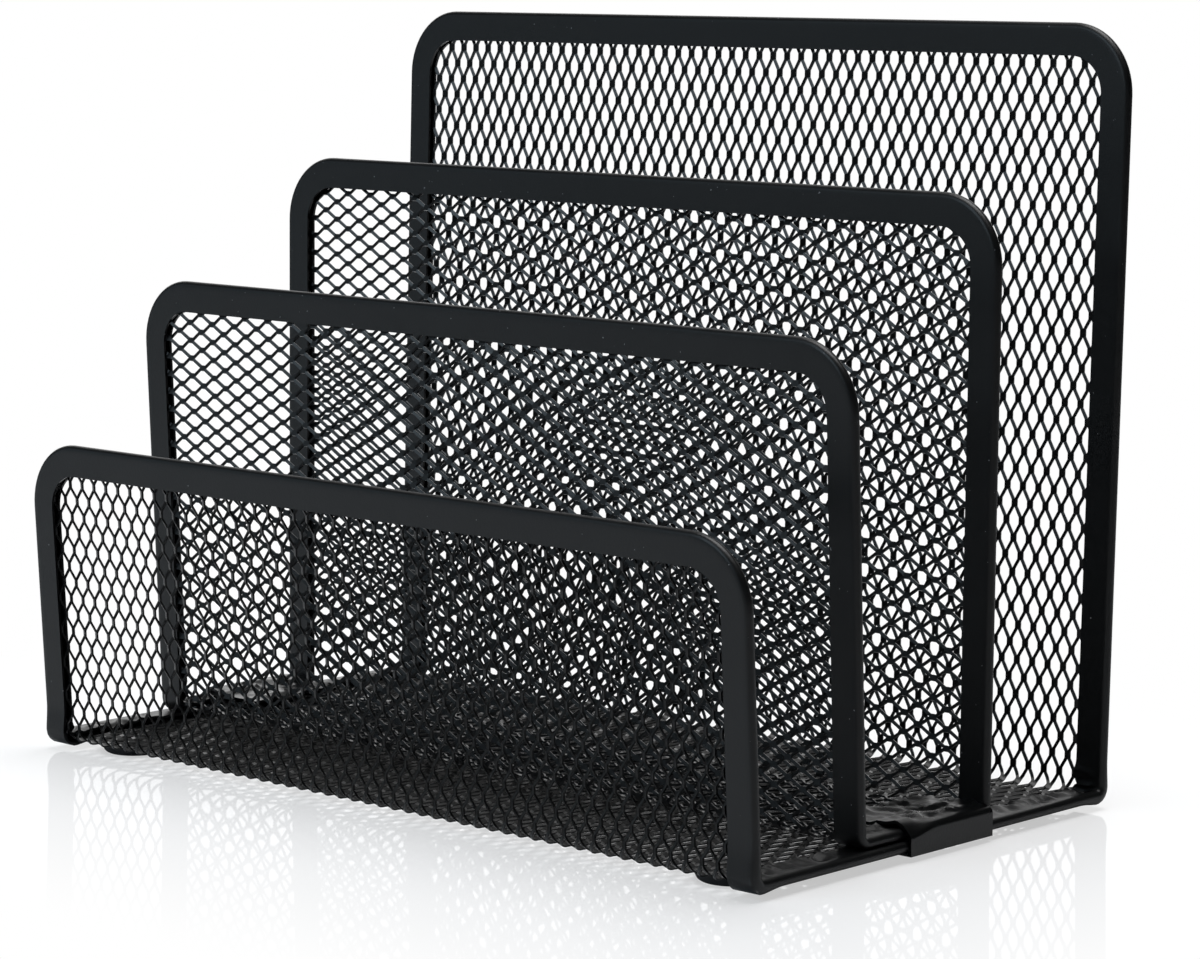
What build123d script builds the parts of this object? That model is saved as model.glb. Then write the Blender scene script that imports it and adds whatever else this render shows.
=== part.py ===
from build123d import *
import math
import os
from collections import namedtuple

# A three-slot letter sorter of black expanded steel, in millimetres.
# Two U-shaped mesh sheets stand one inside the other. The outer sheet makes the front
# panel, the base and the back panel. The inner sheet makes the two dividers and a short
# base that lies on the outer one. A steel strip folded over the edge of each sheet makes
# its rim, two wrapped clips hold the sheets together and four pads carry the whole.
# The desk is at z = 0, the front faces -Y, and the footprint is centred on the origin.

# Overall sizes
outer_width = 172.0
inner_side_step = 1.0
outer_depth = 89.7
second_setback = 26.5
inner_depth = 32.2

# Rim tops above the desk
front_height = 57.2
second_height = 85.1
third_height = 106.1
back_height = 133.1

# Lean of each panel in degrees, positive towards the back
front_lean = -3.0
second_lean = -2.2
third_lean = 0.8
back_lean = 1.9

# The folded rim strip and the sheet crimped inside it
fold_sheet = 0.5
mesh_gauge = 0.8
crimp_clearance = 0.05
rim_width = 5.6
fold_round = 0.8
corner_radius = 12.0
bend_radius = 2.5
mesh_bite = 4.0

# Expanded mesh. One drawn opening stands for several real ones each way, with the
# strands widened alike, so that the open share of the sheet stays true.
mesh_short_way = 3.3
mesh_long_way = 6.05
mesh_strand = 0.52
real_openings_per_drawn = 4.5
bend_border = 1.2
least_opening_share = 0.3

# Clips that wrap both base rims
clip_sheet = 0.5
clip_under_reach = 4.0
clip_lap = 2.4
clip_step = 1.2
clip_joggle_radius = 0.8
clip_front_gap = 9.9
clip_relief = 0.3
cut_overrun = 2.0

# Pads
foot_drop = 1.5
foot_radius = 6.5
foot_chamfer = 0.9
foot_sides = 30
foot_side_inset = 13.5
foot_end_inset = 9.0

# Sizes that follow from these
slot_height = mesh_gauge + 2 * crimp_clearance
rim_thickness = slot_height + 2 * fold_sheet
half_rim = rim_thickness / 2
inner_width = outer_width - 2 * inner_side_step
bend_middle = bend_radius - half_rim
mesh_inset = rim_width - mesh_bite
outer_base_z = foot_drop + half_rim
inner_base_z = outer_base_z + rim_thickness
foot_top = outer_base_z - mesh_gauge / 2
drawn_short_way = mesh_short_way * real_openings_per_drawn
drawn_long_way = mesh_long_way * real_openings_per_drawn
drawn_strand = mesh_strand * real_openings_per_drawn


def top_reach(height, lean):
    """How far a leaning panel's rim top stands out past its foot line, front or back."""
    angle = math.radians(abs(lean))
    rise = (height - outer_base_z) / math.cos(angle) - fold_round
    return rise * math.sin(angle) + half_rim * math.cos(angle)


front_reach = top_reach(front_height, front_lean)
back_reach = top_reach(back_height, back_lean)
front_y = (front_reach - outer_depth - back_reach) / 2
back_y = front_y + outer_depth
second_y = front_y + second_setback
third_y = second_y + inner_depth

Upright = namedtuple("Upright", "plane width length turn tangent bend_axis bend_end_y")


def upright(width, height, foot_y, base_z, lean, base_side):
    """Mid-plane, lengths and bend of one panel; base_side is 1 where its base runs back."""
    angle = math.radians(lean)
    plane = Plane(
        origin=(0, foot_y, base_z),
        x_dir=(1, 0, 0),
        z_dir=(0, -math.cos(angle), math.sin(angle)),
    )
    turn = 90 + base_side * lean
    tangent = bend_middle * math.tan(math.radians(turn) / 2)
    bend_end_y = foot_y + base_side * tangent
    bend_axis = Axis((0, bend_end_y, base_z + bend_middle), (base_side, 0, 0))
    length = (height - base_z) / math.cos(angle)
    return Upright(plane, width, length, turn, tangent, bend_axis, bend_end_y)


front = upright(outer_width, front_height, front_y, outer_base_z, front_lean, 1)
second = upright(inner_width, second_height, second_y, inner_base_z, second_lean, 1)
third = upright(inner_width, third_height, third_y, inner_base_z, third_lean, -1)
back = upright(outer_width, back_height, back_y, outer_base_z, back_lean, -1)


def leg_end(panel, side):
    """Cross-section plane at the foot of one leg, its x pointing in from the outer edge."""
    return Plane(
        origin=panel.plane.from_local_coords((side * panel.width / 2, panel.tangent, 0)),
        x_dir=(-side, 0, 0),
        z_dir=panel.plane.y_dir,
    )


def channel_section():
    """The folded strip in section: eased outside, open on the inside for the mesh edge."""
    outside = Rectangle(rim_width, rim_thickness, align=(Align.MIN, Align.CENTER))
    chamfer(outside.vertices().group_by(Axis.X)[0], fold_round)
    with Locations((fold_sheet, 0)):
        Rectangle(
            rim_width - fold_sheet,
            slot_height,
            align=(Align.MIN, Align.CENTER),
            mode=Mode.SUBTRACT,
        )


def keep(builder, name):
    """Labels a finished piece and writes it out."""
    builder.part.label = name
    export_step(builder.part, f"parts/{name}.step")
    print(name, round(builder.part.volume), len(builder.part.faces()))


def panel_rim(name, panel):
    """Rim of one panel: up one leg, over the top and down, with both legs bent at the foot."""
    half_width = panel.width / 2
    with BuildPart() as rim:
        with BuildLine(panel.plane) as outer_edge:
            FilletPolyline(
                (-half_width, panel.tangent),
                (-half_width, panel.length),
                (half_width, panel.length),
                (half_width, panel.tangent),
                radius=corner_radius,
            )
        with BuildSketch(leg_end(panel, -1)):
            channel_section()
        sweep(path=outer_edge.line)
        with BuildSketch(leg_end(panel, -1), leg_end(panel, 1)):
            channel_section()
        revolve(axis=panel.bend_axis, revolution_arc=panel.turn)
    keep(rim, name)


def base_rim(name, near, far, side):
    """Straight rim along one side of a base, between the bends of its two panels."""
    start = Plane(
        origin=(side * near.width / 2, near.bend_end_y, near.plane.origin.Z),
        x_dir=(-side, 0, 0),
        z_dir=(0, 1, 0),
    )
    with BuildPart() as rim:
        with BuildSketch(start):
            channel_section()
        extrude(amount=far.bend_end_y - near.bend_end_y)
    keep(rim, name)


def open_field(outline, pitch_x, pitch_y):
    """Staggered diamond openings inside an outline, eased to whole ones each way, slivers left out."""
    box = outline.bounding_box()
    columns = max(1, round(box.size.X / pitch_x))
    rows = max(1, round(box.size.Y / pitch_y))
    step_x = box.size.X / columns
    step_y = box.size.Y / rows
    strand_share = drawn_strand * math.hypot(step_x, step_y) / (step_x * step_y)
    open_x = step_x / 2 * (1 - strand_share)
    open_y = step_y / 2 * (1 - strand_share)
    straight = GridLocations(step_x, step_y, columns + 1, rows + 1)
    staggered = GridLocations(step_x, step_y, columns, rows)
    places = [box.center() + place.position for place in (*straight.locations, *staggered.locations)]
    with BuildSketch(mode=Mode.PRIVATE) as field:
        with Locations(*places):
            Polygon((open_x, 0), (0, open_y), (-open_x, 0), (0, -open_y))
        add(outline, mode=Mode.INTERSECT)
    least = least_opening_share * 2 * open_x * open_y
    return [face for face in field.sketch.faces() if face.area > least]


def panel_mesh(name, panel, pitch_x, pitch_y):
    """Mesh of one panel, crimped inside its rim and bent at the foot to meet the base."""
    width = panel.width - 2 * mesh_inset
    height = panel.length - mesh_inset - panel.tangent
    middle_y = panel.tangent + height / 2
    field_foot = panel.tangent + bend_border
    with BuildSketch(mode=Mode.PRIVATE) as field:
        with Locations((0, field_foot)):
            Rectangle(
                panel.width - 2 * rim_width,
                panel.length - rim_width - field_foot,
                align=(Align.CENTER, Align.MIN),
            )
        fillet(field.vertices().group_by(Axis.Y)[-1], corner_radius - rim_width)
    openings = open_field(field.sketch, pitch_x, pitch_y)
    with BuildPart() as sheet:
        with BuildSketch(panel.plane.offset(-mesh_gauge / 2)) as web:
            with Locations((0, middle_y)):
                Rectangle(width, height)
            fillet(web.vertices().group_by(Axis.Y)[-1], corner_radius - mesh_inset)
            add(openings, mode=Mode.SUBTRACT)
        extrude(amount=mesh_gauge)
        bend_start = panel.plane.from_local_coords((0, panel.tangent, 0))
        with BuildSketch(Plane(bend_start, panel.plane.x_dir, panel.plane.y_dir)):
            Rectangle(width, mesh_gauge)
        revolve(axis=panel.bend_axis, revolution_arc=panel.turn)
    keep(sheet, name)


def base_mesh(name, near, far, pitch_x, pitch_y):
    """Flat mesh of a base, between the bends of its two panels."""
    width = near.width - 2 * mesh_inset
    depth = far.bend_end_y - near.bend_end_y
    middle_y = (far.bend_end_y + near.bend_end_y) / 2
    with BuildSketch(mode=Mode.PRIVATE) as field:
        with Locations((0, middle_y)):
            Rectangle(near.width - 2 * rim_width, depth - 2 * bend_border)
    openings = open_field(field.sketch, pitch_x, pitch_y)
    with BuildPart() as sheet:
        with BuildSketch(Plane.XY.offset(near.plane.origin.Z - mesh_gauge / 2)):
            with Locations((0, middle_y)):
                Rectangle(width, depth)
            add(openings, mode=Mode.SUBTRACT)
        extrude(amount=mesh_gauge)
    keep(sheet, name)


def clip(name, side):
    """Strip wrapped from under the outer base rim, up its side and over the inner base rim.

    Its top flange steps down onto the inner mesh and stops short of the third panel's bend.
    """
    wall_x = outer_width / 2 + clip_sheet / 2
    under_z = foot_drop - clip_sheet / 2
    over_z = inner_base_z + half_rim + clip_sheet / 2
    lap_z = inner_base_z + mesh_gauge / 2 + clip_sheet / 2
    step_x = inner_width / 2 - rim_width - clip_sheet
    under_radius = fold_round + clip_sheet / 2
    over_radius = under_radius + inner_side_step
    start_y = second_y + clip_front_gap
    end_y = third_y - half_rim
    relief_x = inner_width / 2 + clip_relief
    relief_y = third.bend_end_y - clip_relief
    relief_z = inner_base_z - half_rim
    with BuildPart() as strip:
        with BuildSketch(Plane((0, start_y, 0), x_dir=(-side, 0, 0), z_dir=(0, side, 0))):
            with BuildLine():
                FilletPolyline(
                    (-wall_x + clip_under_reach, under_z),
                    (-wall_x, under_z),
                    (-wall_x, over_z),
                    (-step_x, over_z),
                    (-step_x + clip_step, lap_z),
                    (-step_x + clip_step + clip_lap, lap_z),
                    radius=(under_radius, over_radius, clip_joggle_radius, clip_joggle_radius),
                )
            trace(line_width=clip_sheet)
        extrude(amount=side * (end_y - start_y))
        with BuildSketch(Plane.XY.offset(relief_z)):
            with Locations((0, relief_y)):
                Rectangle(2 * relief_x, end_y - relief_y + cut_overrun, align=(Align.CENTER, Align.MIN))
        extrude(amount=over_z - relief_z + cut_overrun, mode=Mode.SUBTRACT)
    keep(strip, name)


def foot(name, side, end_y):
    """Low round pad stuck under the base mesh, narrower where it stands on the desk."""
    centre_x = side * (outer_width / 2 - foot_side_inset)
    with BuildPart() as pad:
        with BuildSketch(Plane((centre_x, end_y, 0))):
            RegularPolygon(foot_radius, foot_sides)
        extrude(amount=foot_top)
        chamfer(pad.edges().group_by(Axis.Z)[0], foot_chamfer)
    keep(pad, name)


os.makedirs("parts", exist_ok=True)

panel_rim("front_rim", front)
panel_rim("second_rim", second)
panel_rim("third_rim", third)
panel_rim("back_rim", back)

for side_name, side in (("left", -1), ("right", 1)):
    base_rim(f"outer_base_rim_{side_name}", front, back, side)
    base_rim(f"inner_base_rim_{side_name}", second, third, side)
    clip(f"clip_{side_name}", side)
    foot(f"foot_front_{side_name}", side, front_y + foot_end_inset)
    foot(f"foot_back_{side_name}", side, back_y - foot_end_inset)

panel_mesh("front_mesh", front, drawn_short_way, drawn_long_way)
panel_mesh("back_mesh", back, drawn_short_way, drawn_long_way)
base_mesh("outer_base_mesh", front, back, drawn_short_way, drawn_long_way)
panel_mesh("second_mesh", second, drawn_long_way, drawn_short_way)
panel_mesh("third_mesh", third, drawn_long_way, drawn_short_way)
base_mesh("inner_base_mesh", second, third, drawn_long_way, drawn_short_way)
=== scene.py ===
# %% [markdown]
# # A letter sorter of black expanded steel mesh
# The real sorter is ten pieces: two sheets of expanded mesh bent into a U, a folded steel strip round the
# edge of each sheet, two creased clips that hold the inner U to the outer one, and four rubber pads.
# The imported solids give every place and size. Their grilles are coarse, so this script lays real-scale mesh,
# rounded strips, creased clips and soft pads in the same places, and gives each its finish.

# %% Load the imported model
import math

import bmesh
import bpy
from mathutils import Matrix, Vector, noise


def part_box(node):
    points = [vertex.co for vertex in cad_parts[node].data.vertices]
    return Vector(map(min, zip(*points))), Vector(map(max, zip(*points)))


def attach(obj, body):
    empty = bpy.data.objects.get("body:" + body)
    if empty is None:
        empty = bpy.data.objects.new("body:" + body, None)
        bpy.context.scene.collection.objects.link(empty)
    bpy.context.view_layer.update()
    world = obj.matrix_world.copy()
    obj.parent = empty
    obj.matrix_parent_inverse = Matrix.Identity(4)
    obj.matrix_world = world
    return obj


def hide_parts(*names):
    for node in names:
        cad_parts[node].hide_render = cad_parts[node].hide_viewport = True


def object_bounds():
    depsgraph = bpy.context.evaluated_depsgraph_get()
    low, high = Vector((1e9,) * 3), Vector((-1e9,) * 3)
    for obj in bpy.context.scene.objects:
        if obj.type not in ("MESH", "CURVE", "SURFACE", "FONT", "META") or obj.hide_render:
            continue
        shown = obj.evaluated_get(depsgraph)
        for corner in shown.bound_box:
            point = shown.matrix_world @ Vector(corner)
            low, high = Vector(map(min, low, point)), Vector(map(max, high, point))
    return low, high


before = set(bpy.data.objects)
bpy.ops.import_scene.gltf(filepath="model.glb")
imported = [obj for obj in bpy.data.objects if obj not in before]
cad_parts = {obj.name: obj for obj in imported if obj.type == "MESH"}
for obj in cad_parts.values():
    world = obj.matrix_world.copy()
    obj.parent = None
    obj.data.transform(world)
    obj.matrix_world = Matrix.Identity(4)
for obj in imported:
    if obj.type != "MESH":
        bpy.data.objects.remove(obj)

cad_low, cad_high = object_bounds()
scene = bpy.context.scene
scene.view_settings.view_transform = "Standard"
print("packed nodes:", len(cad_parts), "size:", [round(side, 4) for side in cad_high - cad_low])

# %% [markdown]
# ## The camera
# The picture was taken from the front right, a little above the top edge, with a long lens: the uprights
# hardly converge. A camera can be aimed by eye or worked out from measured edges. Here it was worked out,
# so the place, the two angles and the lens are plain numbers, with the lens given in the picture's own
# pixels because that is what such a fit yields.

# %% Camera
picture_width_px = 1200
focal_px = 3923.03
sensor_width_mm = 36.0
camera_place = (0.47103, -0.49223, 0.14709)
camera_turn = 0.7533
camera_dip = 0.1370

lens = bpy.data.cameras.new("camera")
lens.sensor_fit = "HORIZONTAL"
lens.sensor_width = sensor_width_mm
lens.lens = sensor_width_mm * focal_px / picture_width_px
camera = bpy.data.objects.new("camera", lens)
camera.location = camera_place
camera.rotation_euler = (math.pi / 2 - camera_dip, 0.0, camera_turn)
scene.collection.objects.link(camera)
scene.camera = camera
print("lens in mm:", round(lens.lens, 2))

# %% [markdown]
# ## Shader sums written as sums
# Every finish below is a small net of nodes. Wiring Math nodes by hand hides the sum they make, so one class
# stands for a socket and turns plus, minus and times into Math nodes. One method adds any other node.

# %% Node helpers
class Wire:
    """An output socket that can be added, subtracted and multiplied."""

    def __init__(self, board, socket):
        self.board = board
        self.socket = socket

    def sum_node(self, operation, first, second):
        return self.board.add("ShaderNodeMath", {"operation": operation}, {0: first, 1: second})

    def __add__(self, other):
        return self.sum_node("ADD", self, other)

    def __radd__(self, other):
        return self.sum_node("ADD", other, self)

    def __sub__(self, other):
        return self.sum_node("SUBTRACT", self, other)

    def __rsub__(self, other):
        return self.sum_node("SUBTRACT", other, self)

    def __mul__(self, other):
        return self.sum_node("MULTIPLY", self, other)

    def __rmul__(self, other):
        return self.sum_node("MULTIPLY", other, self)


class Board:
    """The node tree of one finish, emptied and ready for nodes."""

    def __init__(self, owner):
        owner.use_nodes = True
        self.tree = owner.node_tree
        self.tree.nodes.clear()

    def add(self, kind, settings=None, sockets=None, out=0):
        node = self.tree.nodes.new(kind)
        for name, value in (settings or {}).items():
            setattr(node, name, value)
        for name, value in (sockets or {}).items():
            if isinstance(value, Wire):
                self.tree.links.new(value.socket, node.inputs[name])
            else:
                node.inputs[name].default_value = value
        return Wire(self, node.outputs[out]) if node.outputs else None


def new_finish(name):
    """A new material and its empty board."""
    material = bpy.data.materials.new(name)
    return material, Board(material)


print("node helpers ready")

# %% [markdown]
# ## The powder coat
# All the steel is dipped in one satin black powder. Seen close, baked powder has a fine orange peel, its
# gloss is a little uneven, and it gathers pale dust. The peel is a bump of half-millimetre noise. The uneven
# gloss is slow noise on the roughness. The dust is a few rare specks picked out of fine noise by a steep
# step.

# %% Powder coat
noise_middle = 0.5


def powder_coat(name, colour, roughness, peel_strength, dust_level):
    """Satin black powder over steel: fine peel, uneven gloss and rare specks of dust."""
    peel_per_metre = 2300.0
    peel_detail = 2.0
    peel_depth = 0.00005
    patch_per_metre = 90.0
    patch_detail = 4.0
    patch_swing = 0.16
    speck_per_metre = 1500.0
    speck_detail = 1.0
    speck_steepness = 60.0
    speck_colour = (0.16, 0.16, 0.17, 1.0)
    coat_gloss = 0.3
    material, board = new_finish(name)
    place = board.add("ShaderNodeTexCoord", out="Object")
    peel = board.add(
        "ShaderNodeTexNoise", None, {"Vector": place, "Scale": peel_per_metre, "Detail": peel_detail}
    )
    patch = board.add(
        "ShaderNodeTexNoise", None, {"Vector": place, "Scale": patch_per_metre, "Detail": patch_detail}
    )
    grain = board.add(
        "ShaderNodeTexNoise", None, {"Vector": place, "Scale": speck_per_metre, "Detail": speck_detail}
    )
    speck = board.add("ShaderNodeClamp", None, {0: (grain - (1.0 - dust_level)) * speck_steepness})
    paint = board.add(
        "ShaderNodeMix", {"data_type": "RGBA"}, {0: speck, 6: (*colour, 1.0), 7: speck_colour}, out=2
    )
    relief = board.add(
        "ShaderNodeBump", None, {"Height": peel, "Strength": peel_strength, "Distance": peel_depth}
    )
    coat = board.add(
        "ShaderNodeBsdfPrincipled",
        None,
        {
            "Base Color": paint,
            "Roughness": roughness + (patch - noise_middle) * patch_swing,
            "Specular IOR Level": coat_gloss,
            "Normal": relief,
        },
    )
    board.add("ShaderNodeOutputMaterial", None, {"Surface": coat})
    return material


rim_black = (0.0012, 0.0014, 0.0016)
mesh_black = (0.001, 0.0011, 0.0012)
rim_coat = powder_coat("rim_coat", rim_black, roughness=0.4, peel_strength=0.35, dust_level=0.21)
mesh_coat = powder_coat("mesh_coat", mesh_black, roughness=0.3, peel_strength=0.2, dust_level=0.18)
clip_coat = powder_coat("clip_coat", rim_black, roughness=0.3, peel_strength=0.35, dust_level=0.22)
print("coats:", rim_coat.name, mesh_coat.name, clip_coat.name)

# %% [markdown]
# ## The bent sheets
# Mesh and rim of one U are bent together, as one flat panel in a press brake. So each is modelled flat, where
# its lattice and its corners are simple, and then every vertex is laid along the U. In the flat sheet x runs
# across, y runs from the front panel's top edge down, along the base and up to the back panel's top edge, and
# z points out of the U. The ends of the bends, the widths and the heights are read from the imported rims.

# %% A sheet bent into a U
MM = 0.001
bend_middle_radius = 1.55 * MM
front_lean = math.radians(-3.0)
second_lean = math.radians(-2.2)
third_lean = math.radians(0.8)
back_lean = math.radians(1.9)


def along(heading):
    """The direction of a heading, as y and z."""
    return Vector((math.cos(heading), math.sin(heading)))


def outward(heading):
    """The direction out of the U, as y and z, where the sheet runs along this heading."""
    return Vector((math.sin(heading), -math.cos(heading)))


class BentSheet:
    """The middle surface of one U: front panel, bend, base, bend and back panel."""

    def __init__(self, base_rim, front_rim, back_rim, first_lean, last_lean):
        low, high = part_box(base_rim)
        self.half_width = high.x
        self.rim_width = high.x - low.x
        self.half_rim = (high.z - low.z) / 2
        base_z = (high.z + low.z) / 2
        down = -(math.pi / 2 + first_lean)
        up = math.pi / 2 - last_lean
        base_start = Vector((low.y, base_z))
        base_end = Vector((high.y, base_z))
        lift = Vector((0.0, bend_middle_radius))
        front_foot = base_start + lift + outward(down) * bend_middle_radius
        back_foot = base_end + lift + outward(up) * bend_middle_radius
        front_run = (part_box(front_rim)[1].z - front_foot.y) / math.cos(first_lean)
        back_run = (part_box(back_rim)[1].z - back_foot.y) / math.cos(last_lean)
        front_top = front_foot - along(down) * front_run
        curve = 1.0 / bend_middle_radius
        lengths = [
            front_run, -down * bend_middle_radius, high.y - low.y, up * bend_middle_radius, back_run
        ]
        self.marks = [sum(lengths[:count]) for count in range(len(lengths) + 1)]
        self.stretches = [
            (front_top, down, 0.0),
            (front_foot, down, curve),
            (base_start, 0.0, 0.0),
            (base_end, 0.0, curve),
            (back_foot, up, 0.0),
        ]
        self.length = self.marks[-1]
        self.bends = (self.marks[1:3], self.marks[3:5])
        self.base_start = low.y

    def place(self, flat):
        """Where a point of the flat sheet comes to lie on the U."""
        index = 0
        while index < len(self.stretches) - 1 and flat.y > self.marks[index + 1]:
            index += 1
        start, heading, curve = self.stretches[index]
        walked = flat.y - self.marks[index]
        turned = heading + curve * walked
        if curve:
            middle = start + (outward(turned) - outward(heading)) / curve
        else:
            middle = start + along(heading) * walked
        middle += outward(turned) * flat.z
        return Vector((flat.x, middle.x, middle.y))

    def lay(self, bm):
        """Lay a flat mesh along the U; the turn mirrors it, so its faces are turned back outwards."""
        for vert in bm.verts:
            vert.co = self.place(vert.co)
        bmesh.ops.reverse_faces(bm, faces=bm.faces)


outer_sheet = BentSheet("outer_base_rim_right", "front_rim", "back_rim", front_lean, back_lean)
inner_sheet = BentSheet("inner_base_rim_right", "second_rim", "third_rim", second_lean, third_lean)
print("flat lengths:", round(outer_sheet.length, 4), round(inner_sheet.length, 4))

# %% [markdown]
# ## Finishing a piece
# Every piece ends the same way: its faces are smoothed except over sharp edges, it gets its coat, it rides on
# the one body, and the imported nodes it stands for are hidden. Strips are made
# by extruding, either straight or round an axis, and both are a spin: the straight one has no angle.

# %% Piece helpers
CM3_PER_M3 = 1e6


def finish_piece(bm, name, material, nodes, sharp_angle):
    """Make the object of a finished mesh and hang it in the frame."""
    for face in bm.faces:
        face.smooth = True
    for edge in bm.edges:
        edge.smooth = len(edge.link_faces) == 2 and edge.calc_face_angle() < sharp_angle
    mesh = bpy.data.meshes.new(name)
    bm.to_mesh(mesh)
    open_edges = sum(1 for edge in bm.edges if not edge.is_manifold)
    volume = bm.calc_volume(signed=True) * CM3_PER_M3
    bm.free()
    mesh.materials.append(material)
    piece = bpy.data.objects.new(name, mesh)
    scene.collection.objects.link(piece)
    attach(piece, "root")
    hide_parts(*nodes)
    mesh.calc_loop_triangles()
    print(name, "triangles:", len(mesh.loop_triangles), "open edges:", open_edges)
    print(name, "volume in cm3:", round(volume, 2))
    return piece


def push(bm, geometry, step, count):
    """Extrude in a straight line, in count equal steps."""
    return bmesh.ops.spin(
        bm, geom=geometry, cent=(0, 0, 0), axis=(0, 0, 1), dvec=step / count, angle=0.0, steps=count
    )["geom_last"]


def swing(bm, geometry, centre, axis, angle, count):
    """Extrude round an axis, in count equal steps."""
    return bmesh.ops.spin(
        bm, geom=geometry, cent=centre, axis=axis, dvec=(0, 0, 0), angle=angle, steps=count
    )["geom_last"]


def ramp(value, low, high):
    """A smooth step from 0 at low to 1 at high."""
    share = min(max((value - low) / (high - low), 0.0), 1.0)
    return share * share * (3.0 - 2.0 * share)


print("piece helpers ready")

# %% [markdown]
# ## The expanded mesh
# Expanded metal isn't woven. A sheet is slit in staggered rows and pulled open, so the strands stay joined at
# short bonds and every strand stands tilted, like a louvre. That tilt is why the back panel looks dense from
# this side and the front panel looks open, though they are the same mesh. The slits tear a little way into
# each bond, so its ends are pointed and the openings are lenses. One bond with its two upper strands is
# enough: copies of it, half a pitch apart both ways, meet edge to edge and merge into the whole net.

# %% One bond and its strands
short_way = 3.295 * MM
long_way = 6.045 * MM
strand_width = 0.52 * MM
strand_gauge = 0.32 * MM
bond_length = 1.1 * MM
bond_tip = 0.16 * MM
strand_tilt = math.radians(-24.0)
unit_half = 0.5


def bond_with_strands(bm):
    """One tilted bond, two strands wide, and the strands that leave its upper end to both sides."""
    bmesh.ops.create_grid(bm, x_segments=2, y_segments=1, size=unit_half)
    bmesh.ops.scale(bm, vec=(2 * strand_width, bond_length, 1.0), verts=bm.verts)
    for vert in bm.verts:
        if abs(vert.co.x) < strand_width / 2:
            vert.co.y += math.copysign(bond_tip, vert.co.y)
    bmesh.ops.rotate(bm, cent=(0, 0, 0), matrix=Matrix.Rotation(strand_tilt, 3, "Y"), verts=bm.verts)
    upper = [
        edge for edge in bm.edges
        if all(vert.co.y > 0 for vert in edge.verts)
    ]
    across = strand_width * math.cos(strand_tilt)
    sink = strand_width * math.sin(strand_tilt)
    rise = long_way / 2 - bond_length - bond_tip
    for edge in upper:
        side = 1.0 if sum(vert.co.x for vert in edge.verts) > 0 else -1.0
        made = bmesh.ops.extrude_edge_only(bm, edges=[edge])["geom"]
        moved = [item for item in made if isinstance(item, bmesh.types.BMVert)]
        reach = Vector((side * (short_way / 2 - across), rise, side * sink))
        bmesh.ops.translate(bm, vec=reach, verts=moved)


trial = bmesh.new()
bond_with_strands(trial)
print("faces of one bond:", len(trial.faces))
trial.free()

# %% [markdown]
# ## From one bond to a whole sheet
# The array could be an Array modifier, but the sheet has to be trimmed to its outline and bent afterwards, so
# the copies are made at once by spinning with no angle. The whole net is then slid so that an opening lies at
# a chosen point. The trim hides inside the folded rim, so plain cuts are enough: four sides and one slanted
# cut at each rounded corner. Strands that cross a bend are divided first, so that they curve round it
# instead of cutting the corner. Only the slightest edges are smoothed, so that each louvre face catches its
# own light.

# %% The net of a sheet
corner_radius = 12.0 * MM
trim_inset = 1.6 * MM
corner_cut_radius = 9.3 * MM
merge_distance = 0.002 * MM
spare_cells = 4
bend_cuts = 3
bend_margin = 1.5 * MM
long_edge = 0.88 * MM
louvre_sharp_angle = math.radians(10.0)


def everything(bm):
    """All vertices, edges and faces."""
    return bm.verts[:] + bm.edges[:] + bm.faces[:]


def copies(bm, step, count):
    """Repeat everything in the mesh along a step."""
    bmesh.ops.spin(
        bm, geom=everything(bm), cent=(0, 0, 0), axis=(0, 0, 1), dvec=step, angle=0.0, steps=count,
        use_duplicate=True,
    )


def net(sheet, long_way_up, opening):
    """A flat net that more than covers a sheet; opening is the middle of one opening."""
    bm = bmesh.new()
    bond_with_strands(bm)
    copies(bm, Vector((short_way / 2, long_way / 2, 0.0)), 1)
    size = (2 * sheet.half_width, sheet.length) if long_way_up else (sheet.length, 2 * sheet.half_width)
    columns = math.ceil(size[0] / short_way) + spare_cells
    rows = math.ceil(size[1] / long_way) + spare_cells
    copies(bm, Vector((short_way, 0.0, 0.0)), columns)
    copies(bm, Vector((0.0, long_way, 0.0)), rows)
    bmesh.ops.remove_doubles(bm, verts=bm.verts, dist=merge_distance)
    bmesh.ops.translate(bm, vec=(-short_way * columns / 2, -long_way * rows / 2, 0.0), verts=bm.verts)
    pitch_x, pitch_y, count_x, count_y = short_way, long_way, columns, rows
    if not long_way_up:
        bmesh.ops.rotate(bm, cent=(0, 0, 0), matrix=Matrix.Rotation(math.pi / 2, 3, "Z"), verts=bm.verts)
        pitch_x, pitch_y, count_x, count_y = long_way, short_way, rows, columns
    first_opening = Vector((pitch_x * (0.5 - (count_x / 2) % 1.0), pitch_y * (-(count_y / 2) % 1.0), 0.0))
    shift = Vector((*opening, 0.0)) - first_opening
    whole_x = pitch_x * round(-shift.x / pitch_x)
    whole_y = pitch_y * round((sheet.length / 2 - shift.y) / pitch_y)
    bmesh.ops.translate(bm, vec=shift + Vector((whole_x, whole_y, 0.0)), verts=bm.verts)
    return bm


def trim(bm, point, outside):
    """Cut away what lies past a plane."""
    bmesh.ops.bisect_plane(
        bm, geom=everything(bm), dist=merge_distance, plane_co=point, plane_no=outside, clear_outer=True
    )


def trim_to_outline(bm, sheet):
    """Trim a net to a sheet's four sides and four corners."""
    side = sheet.half_width - trim_inset
    trim(bm, (-side, 0, 0), (-1, 0, 0))
    trim(bm, (side, 0, 0), (1, 0, 0))
    trim(bm, (0, trim_inset, 0), (0, -1, 0))
    trim(bm, (0, sheet.length - trim_inset, 0), (0, 1, 0))
    for across in (-1, 1):
        for end in (-1, 1):
            corner = Vector((
                across * (sheet.half_width - corner_radius),
                sheet.length / 2 + end * (sheet.length / 2 - corner_radius),
                0.0,
            ))
            slant = Vector((across, end, 0)).normalized()
            trim(bm, corner + slant * corner_cut_radius, slant)


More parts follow.
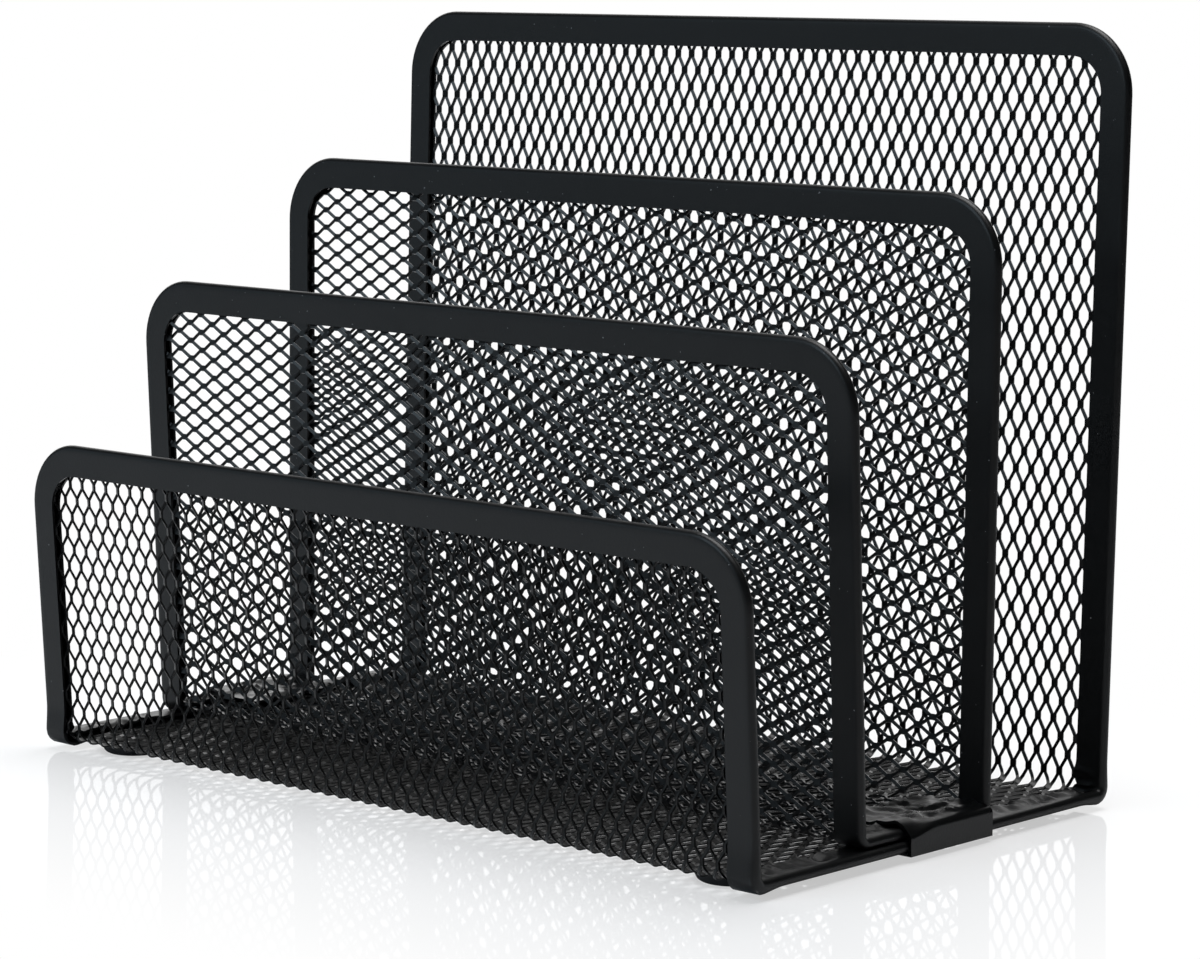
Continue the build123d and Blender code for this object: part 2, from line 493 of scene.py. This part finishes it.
def crosses_bend(sheet, edge):
    """True for a long edge that lies in one of the two bends."""
    if edge.calc_length() < long_edge:
        return False
    middle = (edge.verts[0].co.y + edge.verts[1].co.y) / 2
    return any(start - bend_margin < middle < end + bend_margin for start, end in sheet.bends)


def mesh_sheet(name, sheet, long_way_up, opening, nodes):
    """One whole sheet of expanded mesh, bent into its U."""
    bm = net(sheet, long_way_up, opening)
    trim_to_outline(bm, sheet)
    in_bends = [edge for edge in bm.edges if crosses_bend(sheet, edge)]
    bmesh.ops.subdivide_edges(bm, edges=in_bends, cuts=bend_cuts, use_grid_fill=True)
    bmesh.ops.recalc_face_normals(bm, faces=bm.faces)
    bmesh.ops.translate(bm, vec=(0, 0, strand_gauge / 2), verts=bm.verts)
    bmesh.ops.solidify(bm, geom=bm.faces[:], thickness=strand_gauge)
    sheet.lay(bm)
    return finish_piece(bm, name, mesh_coat, nodes, louvre_sharp_angle)


back_opening = (66.18 * MM, outer_sheet.length - 9.99 * MM)
third_opening = (-69.44 * MM, inner_sheet.length - 11.52 * MM)
mesh_sheet(
    "outer_mesh_sheet", outer_sheet, True, back_opening, ["front_mesh", "outer_base_mesh", "back_mesh"]
)
mesh_sheet(
    "inner_mesh_sheet", inner_sheet, False, third_opening, ["second_mesh", "inner_base_mesh", "third_mesh"]
)

# %% [markdown]
# ## The folded rims
# Each sheet's raw edge is shut in a steel strip, folded lengthwise like bias tape and pressed flat. A sweep
# along a curve could make it, but here the strip is walked round the flat sheet instead: its open profile is
# pushed along each side and swung round each corner, and the two ends meet. Where it lies in the base the
# inner flange was dented when the sorter was pressed together, so that flange is creased by noise, more at
# the lip than at the fold. The outer flange of the outer strip was stretched over the bends and bulges there.
# The strip then gets its gauge inwards and is bent with the sheet.

# %% Walking the strip round the sheet
strip_gauge = 0.5 * MM
flange_steps = 7
fold_steps = 10
corner_steps = 16
bar_steps = 14
leg_step = 0.5 * MM


def fold_profile(bm, sheet, corner):
    """The open profile of the folded strip at the start of the left leg, from lip round the fold to lip."""
    flange = sheet.rim_width - sheet.half_rim
    lip = bm.verts.new((-sheet.half_width + sheet.rim_width, corner, sheet.half_rim))
    fold_line = Vector((-sheet.half_width + sheet.half_rim, corner, 0.0))
    last = push(bm, [lip], Vector((-flange, 0.0, 0.0)), flange_steps)
    last = swing(bm, last, fold_line, (0, 1, 0), -math.pi, fold_steps)
    push(bm, last, Vector((flange, 0.0, 0.0)), flange_steps)
    return bm.verts[:] + bm.edges[:]


def walk_round(bm, sheet, profile):
    """Push the profile along the four sides of the flat sheet and swing it round the four corners."""
    leg = sheet.length - 2 * corner_radius
    bar = 2 * (sheet.half_width - corner_radius)
    near, far = corner_radius, sheet.length - corner_radius
    inset = sheet.half_width - corner_radius
    leg_count = math.ceil(leg / leg_step)
    walk = [
        (Vector((0.0, leg, 0.0)), leg_count, (-inset, far, 0.0)),
        (Vector((bar, 0.0, 0.0)), bar_steps, (inset, far, 0.0)),
        (Vector((0.0, -leg, 0.0)), leg_count, (inset, near, 0.0)),
        (Vector((-bar, 0.0, 0.0)), bar_steps, (-inset, near, 0.0)),
    ]
    for way, count, turning_point in walk:
        profile = push(bm, profile, way, count)
        profile = swing(bm, profile, turning_point, (0, 0, 1), -math.pi / 2, corner_steps)
    bmesh.ops.remove_doubles(bm, verts=bm.verts, dist=merge_distance)
    bmesh.ops.recalc_face_normals(bm, faces=bm.faces)


print("steps along the outer leg:", math.ceil((outer_sheet.length - 2 * corner_radius) / leg_step))

# %% Creases and bulges
crease_depth = 0.6 * MM
crease_per_metre = Vector((150.0, 320.0, 40.0))
crease_blend = 3.0 * MM
crease_start_share = 0.15
crease_full_share = 0.7
flange_share = 0.9
lip_wander = 0.8 * MM
wander_per_metre = Vector((20.0, 260.0, 0.0))
wander_layer = Vector((0.0, 0.0, 5.0))
flare_depth = 0.6 * MM
flare_reach = 6.0 * MM


def crumple(point, per_metre):
    """Noise with sharp folds, as in dented sheet metal; mostly between -1 and 1."""
    fold_top = 0.8
    fold_fall = 3.2
    ripple = 0.5
    ripple_scale = 2.3
    stretched = point * per_metre
    folds = fold_top - fold_fall * abs(noise.noise(stretched))
    return folds + ripple * noise.noise(stretched * ripple_scale)


def flare_bends(bm, sheet):
    """Bulge the outer flange where it was stretched round the two bends."""
    for vert in bm.verts:
        if vert.co.z < 0:
            continue
        for start, end in sheet.bends:
            away = abs(vert.co.y - (start + end) / 2)
            vert.co.z += flare_depth * (1.0 - ramp(away, 0.0, flare_reach)) * vert.co.z / sheet.half_rim


def crease_flange(bm, sheet, stretches):
    """Dent the inner flange where it lies in the base; stretches are pairs of flat y places."""
    for vert in bm.verts:
        if vert.co.z > -sheet.half_rim * flange_share:
            continue
        inside = (sheet.half_width - abs(vert.co.x)) / sheet.rim_width
        window = max(
            ramp(vert.co.y, start, start + crease_blend) * (1.0 - ramp(vert.co.y, end - crease_blend, end))
            for start, end in stretches
        )
        dent = crumple(vert.co, crease_per_metre)
        wander = noise.noise(vert.co * wander_per_metre + wander_layer)
        weight = window * ramp(inside, crease_start_share, crease_full_share)
        vert.co.z -= weight * crease_depth * dent
        vert.co.x += weight * inside * lip_wander * wander


print("creases per metre along the base:", crease_per_metre.y)

# %% Rim strips
rim_sharp_angle = math.radians(40.0)
bend_reach = 5.0 * MM


def rim_strip(name, sheet, stretches, flared, nodes):
    """The folded strip round one sheet, bent with it."""
    bm = bmesh.new()
    profile = fold_profile(bm, sheet, corner_radius)
    walk_round(bm, sheet, profile)
    crease_flange(bm, sheet, stretches)
    if flared:
        flare_bends(bm, sheet)
    bmesh.ops.solidify(bm, geom=bm.faces[:], thickness=strip_gauge)
    sheet.lay(bm)
    return finish_piece(bm, name, rim_coat, nodes, rim_sharp_angle)


def along_base(sheet, y):
    """The flat place of a point of the base, from its y in the frame."""
    return sheet.marks[2] + y - sheet.base_start


front_stretch = (
    outer_sheet.marks[1] - bend_reach, along_base(outer_sheet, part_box("second_rim")[0].y)
)
rear_stretch = (
    along_base(outer_sheet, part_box("third_rim")[1].y), outer_sheet.marks[4] + bend_reach
)
inner_stretch = (
    inner_sheet.marks[1] - bend_reach, along_base(inner_sheet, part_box("clip_right")[0].y) + bend_reach
)
rim_strip(
    "outer_rim_strip", outer_sheet, [front_stretch, rear_stretch], True,
    ["front_rim", "outer_base_rim_left", "outer_base_rim_right", "back_rim"],
)
rim_strip(
    "inner_rim_strip", inner_sheet, [inner_stretch], False,
    ["second_rim", "inner_base_rim_left", "inner_base_rim_right", "third_rim"],
)

# %% [markdown]
# ## The clips
# A clip is a short strip of thin steel, tucked under the outer rim, wrapped up its side, over the inner rim
# and out onto the inner mesh as a flat tongue. It starts as its bent cross-section, a few points joined by
# edges, is pushed along the base, and its shoulder is rounded by a bevel. Hammering left the top creased,
# and its front end stands open like a hood, with the outer corner bent down.

# %% The form of a clip
clip_gauge = 0.5 * MM
clip_tuck = 4.0 * MM
clip_joggle = 1.5 * MM
clip_tongue = 4.8 * MM
clip_shoulder = 1.0 * MM
clip_shoulder_segments = 6
clip_steps = 44
clip_cuts = 9
clip_short_edge = 1.35 * MM
half_round = 0.5


class ClipForm:
    """Where the bends of one clip lie, as distances from the middle of the sorter and as heights."""

    def __init__(self, side, node, rim_node, mesh_node):
        low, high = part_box(node)
        rim_low, rim_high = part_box(rim_node)
        self.side = side
        self.front_y = low.y
        self.length = high.y - low.y
        self.wall_x = max(abs(low.x), abs(high.x))
        self.rim_x = min(abs(rim_low.x), abs(rim_high.x))
        self.tip_x = min(abs(low.x), abs(high.x)) - clip_tongue
        self.under_z = low.z
        self.over_z = high.z
        self.lap_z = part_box(mesh_node)[1].z + clip_gauge

    def wrap(self, bm):
        """The bare strip: its section pushed along the base, with a rounded shoulder."""
        section = [
            bm.verts.new((self.side * x, self.front_y, z))
            for x, z in (
                (self.wall_x - clip_tuck, self.under_z),
                (self.wall_x, self.under_z),
                (self.wall_x, self.over_z),
                (self.rim_x, self.over_z),
                (self.rim_x - clip_joggle, self.lap_z),
                (self.tip_x, self.lap_z),
            )
        ]
        for first, second in zip(section, section[1:]):
            bm.edges.new((first, second))
        push(bm, bm.verts[:] + bm.edges[:], Vector((0.0, self.length, 0.0)), clip_steps)
        shoulder = [
            edge for edge in bm.edges
            if all(abs(abs(vert.co.x) - self.wall_x) < merge_distance for vert in edge.verts)
            and all(abs(vert.co.z - self.over_z) < merge_distance for vert in edge.verts)
        ]
        bmesh.ops.bevel(
            bm, geom=shoulder, offset=clip_shoulder, offset_type="OFFSET", affect="EDGES",
            segments=clip_shoulder_segments, profile=half_round, material=-1, clamp_overlap=True,
        )
        across = [
            edge for edge in bm.edges
            if abs(edge.verts[0].co.y - edge.verts[1].co.y) < merge_distance
            and edge.calc_length() > clip_short_edge
        ]
        bmesh.ops.subdivide_edges(bm, edges=across, cuts=clip_cuts, use_grid_fill=True)


right_clip = ClipForm(1, "clip_right", "inner_base_rim_right", "inner_base_mesh")
left_clip = ClipForm(-1, "clip_left", "inner_base_rim_left", "inner_base_mesh")
print("clip length in mm:", round(right_clip.length / MM, 2))

# %% Clips
clip_wall_free = 1.0 * MM
clip_crest = 2.0 * MM
clip_crest_end = 6.0 * MM
clip_crest_rise = 0.15 * MM
clip_hood_rise = 0.6 * MM
clip_hood_length = 7.0 * MM
clip_corner = 3.5 * MM
clip_corner_drop = 1.1 * MM
clip_dent = 0.5 * MM
clip_dent_lift = 0.5
clip_dents_per_metre = Vector((220.0, 330.0, 60.0))
clip_lap_wander = 0.9 * MM
clip_wander_per_metre = Vector((0.0, 260.0, 0.0))
clip_sharp_angle = math.radians(50.0)


def hammer(bm, form):
    """Crease the top of a clip, raise its hood and let its tongue's edge wander."""
    for vert in bm.verts:
        inward = form.wall_x - abs(vert.co.x)
        crown = ramp(vert.co.z, form.under_z + clip_wall_free, form.over_z)
        arch = ramp(inward, 0.0, clip_crest) * (1.0 - ramp(inward, clip_crest, clip_crest_end))
        behind = ramp(vert.co.y, form.front_y, form.front_y + clip_hood_length)
        hood = 1.0 - behind
        corner = 1.0 - ramp(inward, 0.0, clip_corner)
        flange = ramp(inward, clip_crest, clip_crest + clip_joggle)
        tongue = ramp(inward, form.wall_x - form.rim_x, form.wall_x - form.tip_x)
        dent = behind * crumple(vert.co, clip_dents_per_metre) + clip_dent_lift
        wander = noise.noise(vert.co * clip_wander_per_metre + wander_layer)
        lift = arch * (clip_crest_rise + clip_hood_rise * hood) + flange * clip_dent * dent
        vert.co.z += crown * (lift - hood * corner * clip_corner_drop)
        vert.co.x += form.side * crown * tongue * clip_lap_wander * wander


def clip_strip(name, form, node):
    """One finished clip."""
    bm = bmesh.new()
    form.wrap(bm)
    hammer(bm, form)
    bmesh.ops.recalc_face_normals(bm, faces=bm.faces)
    bmesh.ops.solidify(bm, geom=bm.faces[:], thickness=clip_gauge)
    if bm.calc_volume(signed=True) < 0:
        bmesh.ops.reverse_faces(bm, faces=bm.faces)
    return finish_piece(bm, name, clip_coat, [node], clip_sharp_angle)


clip_strip("clip_strip_right", right_clip, "clip_right")
clip_strip("clip_strip_left", left_clip, "clip_left")

# %% [markdown]
# ## The pads
# Low soft pads keep the steel off the desk. Each is a short cone with its lower edge bevelled round, in a
# matte rubber whose grain is a little bump and an uneven roughness.

# %% Rubber
def soft_rubber(name):
    """Matte black rubber with a faint grain."""
    rubber_colour = (0.008, 0.008, 0.009, 1.0)
    rubber_roughness = 0.6
    rubber_gloss = 0.3
    grain_per_metre = 1800.0
    grain_detail = 3.0
    grain_depth = 0.00006
    grain_strength = 0.4
    grain_swing = 0.2
    material, board = new_finish(name)
    place = board.add("ShaderNodeTexCoord", out="Object")
    grain = board.add(
        "ShaderNodeTexNoise", None, {"Vector": place, "Scale": grain_per_metre, "Detail": grain_detail}
    )
    relief = board.add(
        "ShaderNodeBump", None, {"Height": grain, "Strength": grain_strength, "Distance": grain_depth}
    )
    rubber = board.add(
        "ShaderNodeBsdfPrincipled",
        None,
        {
            "Base Color": rubber_colour,
            "Roughness": rubber_roughness + grain * grain_swing,
            "Specular IOR Level": rubber_gloss,
            "Normal": relief,
        },
    )
    board.add("ShaderNodeOutputMaterial", None, {"Surface": rubber})
    return material


pad_rubber = soft_rubber("pad_rubber")
print("rubber:", pad_rubber.name)

# %% Pads
pad_segments = 56
pad_draw_in = 0.9 * MM
pad_round = 0.7 * MM
pad_round_segments = 4
pad_sharp_angle = math.radians(60.0)


def pad(name, node):
    """A low round pad, narrower where it stands, with a rounded foot."""
    low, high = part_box(node)
    middle = (low + high) / 2
    radius = (high.x - low.x) / 2
    bm = bmesh.new()
    bmesh.ops.create_cone(
        bm, cap_ends=True, segments=pad_segments, radius1=radius - pad_draw_in, radius2=radius,
        depth=high.z - low.z,
    )
    standing = [edge for edge in bm.edges if all(vert.co.z < 0 for vert in edge.verts)]
    bmesh.ops.bevel(
        bm, geom=standing, offset=pad_round, offset_type="OFFSET", affect="EDGES",
        segments=pad_round_segments, profile=half_round, material=-1, clamp_overlap=True,
    )
    bmesh.ops.translate(bm, vec=middle, verts=bm.verts)
    return finish_piece(bm, name, pad_rubber, [node], pad_sharp_angle)


for end in ("front", "back"):
    for side in ("left", "right"):
        pad(f"pad_{end}_{side}", f"foot_{end}_{side}")

# %% [markdown]
# ## The table and the light
# The sorter stands on a glossy white table that runs out into pure white. Near the sorter the table keeps the
# shadow and a faint mirror image. Further out it turns into even white, for the camera only. The world is a
# dim room with a white glow behind the sorter, which only reflections see: the mirror image and the flat
# flanges need something bright to stand out against. The light is a large soft panel overhead, a smaller one
# high in front, which the leaning faces of the mesh catch, and a weak one at the front left for the bars.

# %% Floor
floor_half = 0.75
table_colour = (0.93, 0.935, 0.95, 1.0)
mirror_share = 0.31
mirror_roughness = 0.03
near_white = 0.53
fade_end = 0.08
full_white = 1.0


def white_table(name):
    """Glossy white near the sorter, even white further out."""
    material, board = new_finish(name)
    place = board.add("ShaderNodeTexCoord", out="Object")
    spread = board.add("ShaderNodeVectorMath", {"operation": "ABSOLUTE"}, {0: place})
    beyond = board.add("ShaderNodeVectorMath", {"operation": "SUBTRACT"}, {0: spread, 1: cad_high})
    clear = board.add("ShaderNodeVectorMath", {"operation": "MAXIMUM"}, {0: beyond, 1: (0.0, 0.0, 0.0)})
    away = board.add("ShaderNodeVectorMath", {"operation": "LENGTH"}, {0: clear}, out="Value")
    fade = board.add(
        "ShaderNodeMapRange", {"interpolation_type": "SMOOTHSTEP"},
        {"Value": away, "From Max": fade_end, "To Min": near_white},
    )
    seen = board.add("ShaderNodeLightPath", out="Is Camera Ray")
    top = board.add("ShaderNodeBsdfDiffuse", None, {"Color": table_colour})
    mirror = board.add("ShaderNodeBsdfGlossy", None, {"Roughness": mirror_roughness})
    gloss = board.add("ShaderNodeMixShader", None, {0: mirror_share, 1: top, 2: mirror})
    white = board.add("ShaderNodeEmission", None, {"Strength": full_white})
    table = board.add("ShaderNodeMixShader", None, {0: fade * seen, 1: gloss, 2: white})
    board.add("ShaderNodeOutputMaterial", None, {"Surface": table})
    return material


floor_bm = bmesh.new()
bmesh.ops.create_grid(floor_bm, x_segments=1, y_segments=1, size=floor_half)
floor_mesh = bpy.data.meshes.new("floor")
floor_bm.to_mesh(floor_mesh)
floor_bm.free()
floor_mesh.materials.append(white_table("white_table"))
floor = bpy.data.objects.new("floor", floor_mesh)
scene.collection.objects.link(floor)
print("floor side in metres:", 2 * floor_half)

# %% World
ambient_strength = 0.04
glow_strength = 1.7
glow_way = (-0.62, 0.76, 0.2)
glow_edge = 0.72
glow_full = 0.93
room_colour = (0.93, 0.97, 1.0, 1.0)
plain_white = (1.0, 1.0, 1.0, 1.0)


def studio_world():
    """A dim room with a white glow behind the sorter for reflections; the camera sees white all round."""
    world = bpy.data.worlds.new("studio")
    scene.world = world
    board = Board(world)
    way = board.add("ShaderNodeTexCoord", out="Generated")
    facing = board.add(
        "ShaderNodeVectorMath", {"operation": "DOT_PRODUCT"}, {0: way, 1: glow_way}, out="Value"
    )
    behind = board.add(
        "ShaderNodeMapRange", {"interpolation_type": "SMOOTHSTEP"},
        {"Value": facing, "From Min": glow_edge, "From Max": glow_full},
    )
    seen = board.add("ShaderNodeLightPath", out="Is Camera Ray")
    mirrored = board.add("ShaderNodeLightPath", out="Is Glossy Ray")
    room = board.add("ShaderNodeBackground", None, {"Color": room_colour, "Strength": ambient_strength})
    glow = board.add("ShaderNodeBackground", None, {"Color": plain_white, "Strength": glow_strength})
    white = board.add("ShaderNodeBackground", None, {"Color": plain_white, "Strength": full_white})
    lit = board.add("ShaderNodeMixShader", None, {0: mirrored * behind, 1: room, 2: glow})
    both = board.add("ShaderNodeMixShader", None, {0: seen, 1: lit, 2: white})
    board.add("ShaderNodeOutputWorld", None, {"Surface": both})
    return world


print("world:", studio_world().name)

# %% Lamps
aim = Vector((0.0, 0.0, 0.06))
plain_light = (1.0, 1.0, 1.0)
cool_light = (0.72, 0.88, 1.0)


def soft_panel(name, place, size, power, colour):
    """A square soft light aimed at the sorter."""
    lamp = bpy.data.lights.new(name, "AREA")
    lamp.shape = "SQUARE"
    lamp.size = size
    lamp.energy = power
    lamp.color = colour
    panel = bpy.data.objects.new(name, lamp)
    panel.location = place
    panel.rotation_euler = (aim - Vector(place)).to_track_quat("-Z", "Y").to_euler()
    panel.visible_camera = False
    scene.collection.objects.link(panel)
    print(name, "power in W:", power)


soft_panel("overhead_panel", place=(0.05, 0.12, 1.1), size=0.7, power=12.5, colour=plain_light)
soft_panel("front_panel", place=(-0.2, -0.95, 0.65), size=0.6, power=4.4, colour=cool_light)
soft_panel("left_panel", place=(-0.95, -0.75, 0.35), size=0.8, power=1.2, colour=cool_light)
